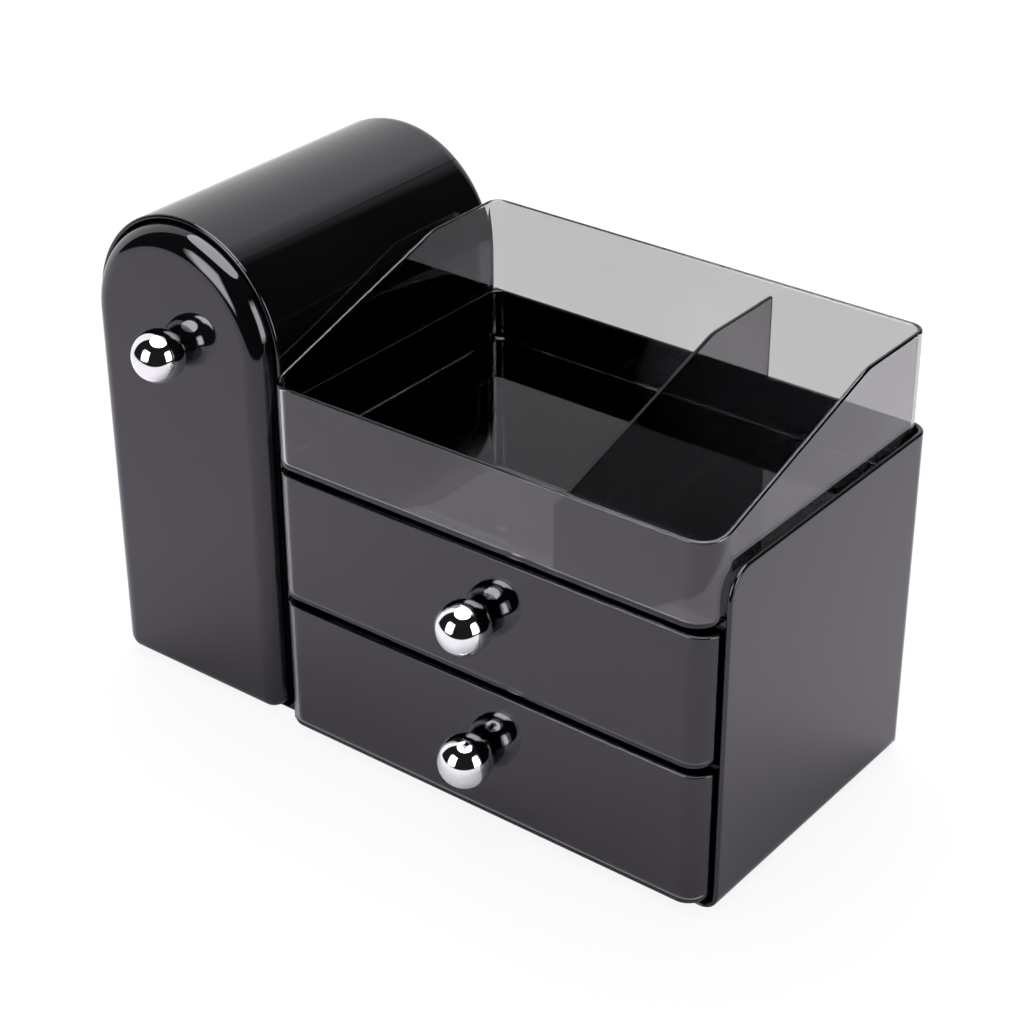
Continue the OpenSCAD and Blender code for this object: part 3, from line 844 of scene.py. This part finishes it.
def dark_surround():
    """The dark half of the studio, in front and to the right, that the gloss reflects. It
    thins out towards the back on the right."""
    height = 2.6
    start = -165
    end = 91
    fade_over = 26
    steps = 128
    points = []
    fade = []
    faces = []
    for i in range(steps + 1):
        azimuth = start + (end - start) * i / steps
        a = math.radians(azimuth)
        x = DARK_RADIUS * math.cos(a)
        y = DARK_RADIUS * math.sin(a)
        points += [(x, y, 0), (x, y, height)]
        fade += [min(1.0, (end - azimuth) / fade_over)] * 2
        if i:
            faces.append((2 * i - 2, 2 * i, 2 * i + 1, 2 * i - 1))
    middle = len(points)
    points.append((0, 0, height))
    fade.append(1.0)
    for i in range(1, steps + 1):
        faces.append((2 * i - 1, 2 * i + 1, middle))
    card("dark_surround", points, faces, card_material("dark_cloth", DARK_GLOW), fade)


def ground_card(name, height, rows, material):
    """A flat card just above the floor. Each row has its azimuth, the three distances from
    which it shows, shows fully and ends, and its share of the full cover."""
    points = []
    fade = []
    faces = []
    for azimuth, radii, share in rows:
        a = math.radians(azimuth)
        for radius, cover in zip(radii, (0.0, 1.0, 1.0)):
            points.append((radius * math.cos(a), radius * math.sin(a), height))
            fade.append(cover * share)
    for i in range(len(rows) - 1):
        for a in (3 * i, 3 * i + 1):
            faces.append((a, a + 1, a + 4, a + 3))
    card(name, points, faces, material, fade)


def painted_far_floor_shade():
    """Painted shade that reflections alone show: a dark card just above the floor, where the
    floor lies far out beyond the lamps' light. edge lists how far the lit floor reaches, in
    metres, by azimuth."""
    edge = [(-165, 1.9), (-144, 1.4), (-123, 0.95), (-106, 0.66), (-89, 0.48), (-70, 0.43),
            (-52, 0.42), (-34, 0.5), (-16, 0.66), (9, 0.9), (44, 0.85), (84, 0.8), (100, 0.8)]
    fade_over = 16
    end = edge[-1][0]
    rows = []
    for azimuth, reach in edge:
        radii = (reach * 0.97, reach * 1.08, DARK_RADIUS)
        rows.append((azimuth, radii, min(1.0, (end - azimuth) / fade_over)))
    # the card's dark glow stands in for the unlit far floor in reflections: painted shade
    ground_card("painted_far_floor_shade", 0.0004, rows, card_material("far_floor_shade_paint", DARK_GLOW))


def pale_ground():
    """The white floor behind and to the left, beyond the lamps' reach. It keeps the horizon
    there free of a dark line."""
    start = 96
    end = 195
    fade_over = 18
    steps = 11
    rows = []
    for i in range(steps + 1):
        azimuth = start + (end - start) * i / steps
        rows.append((azimuth, (0.35, 1.0, 6.0), min(1.0, (azimuth - start) / fade_over)))
    ground_card("pale_ground", 0.0003, rows, card_material("pale_cloth", 1.0))


# ---------------------------------------------------------------- lamps, world and camera

# What the lamps face
OBJECT_MIDDLE = Vector((0, 0, 0.09))


def towards(azimuth, elevation):
    """The direction from the object to a lamp."""
    a = math.radians(azimuth)
    e = math.radians(elevation)
    return Vector((math.cos(e) * math.cos(a), math.cos(e) * math.sin(a), math.sin(e)))


def lamp(name, azimuth, elevation, distance, size, power):
    """A soft lamp that faces the object and never shows itself."""
    way = towards(azimuth, elevation)
    at = OBJECT_MIDDLE + way * distance
    data = bpy.data.lights.new(name, "AREA")
    data.shape = "RECTANGLE"
    data.size = size[0]
    data.size_y = size[1]
    data.energy = power
    light = bpy.data.objects.new(name, data)
    turn = way.to_track_quat("Z", "Y").to_matrix().to_4x4()
    light.matrix_world = Matrix.Translation(at) @ turn
    light.visible_glossy = False
    light.visible_camera = False
    light.visible_transmission = False
    bpy.context.scene.collection.objects.link(light)
    return light


def softbox(name, azimuth, elevation, distance, size, glow, power):
    """A soft lamp, and the bright card with soft edges that reflections show for it."""
    light = lamp(name, azimuth, elevation, distance, size, power)
    places = [-0.5, -0.3, 0.3, 0.5]
    points = []
    fade = []
    for v in places:
        for u in places:
            points.append(light.matrix_world @ Vector((u * size[0], v * size[1], 0)))
            fade.append(float(max(abs(u), abs(v)) < 0.4))
    faces = [(4 * j + i, 4 * j + i + 1, 4 * j + i + 5, 4 * j + i + 4)
             for j in range(3) for i in range(3)]
    card(name + "_card", points, faces, card_material(name + "_glow", glow, True), fade)


def top_light(distance, radius, glow, power):
    """The round softbox straight above, with a square lamp of about its area."""
    side = 1.8 * radius
    lamp("top", 0, 90, distance, (side, side), power)
    sides = 36
    rim = arc(0, 0, radius, 0, 360 - 360 / sides, sides - 1)
    points = [(x, y, distance) for x, y in rim]
    card("top_card", points, [tuple(range(sides))], card_material("top_glow", glow, True))


def world():
    """White behind everything that the camera and the gloss see, and an even soft fill."""
    fill = 0.25
    sky = bpy.data.worlds.new("studio")
    bpy.context.scene.world = sky
    sky.use_nodes = True
    tree = sky.node_tree
    background = tree.nodes["Background"]
    strength = maths(tree, "MAXIMUM", seen_by(tree, 1.0, 1.0, 1.0), fill)
    tree.links.new(strength, background.inputs["Strength"])
    background.inputs["Color"].default_value = (1, 1, 1, 1)


def camera():
    """The photograph's view, as fitted to its straight edges."""
    at = (0.5348, -0.6678, 0.5893)
    heading = 37.82
    down = 30.05
    tilt = -0.19
    data = bpy.data.cameras.new("photo_view")
    data.sensor_width = 36.0
    data.lens = 86.12
    eye = bpy.data.objects.new("photo_view", data)
    bpy.context.scene.collection.objects.link(eye)
    yaw = Matrix.Rotation(math.radians(heading), 4, "Z")
    pitch = Matrix.Rotation(math.radians(90 - down), 4, "X")
    roll = Matrix.Rotation(math.radians(tilt), 4, "Z")
    eye.matrix_world = Matrix.Translation(at) @ yaw @ pitch @ roll
    bpy.context.scene.camera = eye


# ---------------------------------------------------------------- the scene

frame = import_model()

for kept, (finish, softness) in KEPT.items():
    dress(kept, finish, softness)
tower_shell()
tower_front()
cabinet_shell()
drawer("lower_tub", "lower_drawer", "lower_drawer", bottom=4.2, height=59.0)
drawer("upper_tub", "upper_drawer", "upper_drawer", bottom=65.7, height=57.3)
tray()
divider()
knob("tower_ball", "tower_drawer", "tower_knob", x=ARCH_X, z=159.3, face=-5.0)
knob("upper_ball", "upper_drawer", "upper_drawer_knob", x=TUB_MID_X, z=94.35, face=TUB_FRONT)
knob("lower_ball", "lower_drawer", "lower_drawer_knob", x=TUB_MID_X, z=33.7, face=TUB_FRONT)

floor()
dark_surround()
painted_far_floor_shade()
pale_ground()
top_light(distance=1.5, radius=0.78, glow=6.0, power=11.0)
softbox("left_box", -106.5, 17.0, distance=1.7, size=(1.05, 1.35), glow=6.0, power=7.0)
softbox("right_box", -3.7, 17.0, distance=1.7, size=(0.90, 1.35), glow=6.0, power=1.5)
lamp("back", 128.0, 60.0, distance=1.8, size=(1.6, 1.6), power=26.0)
world()
camera()
bpy.context.scene.view_settings.view_transform = "Standard"
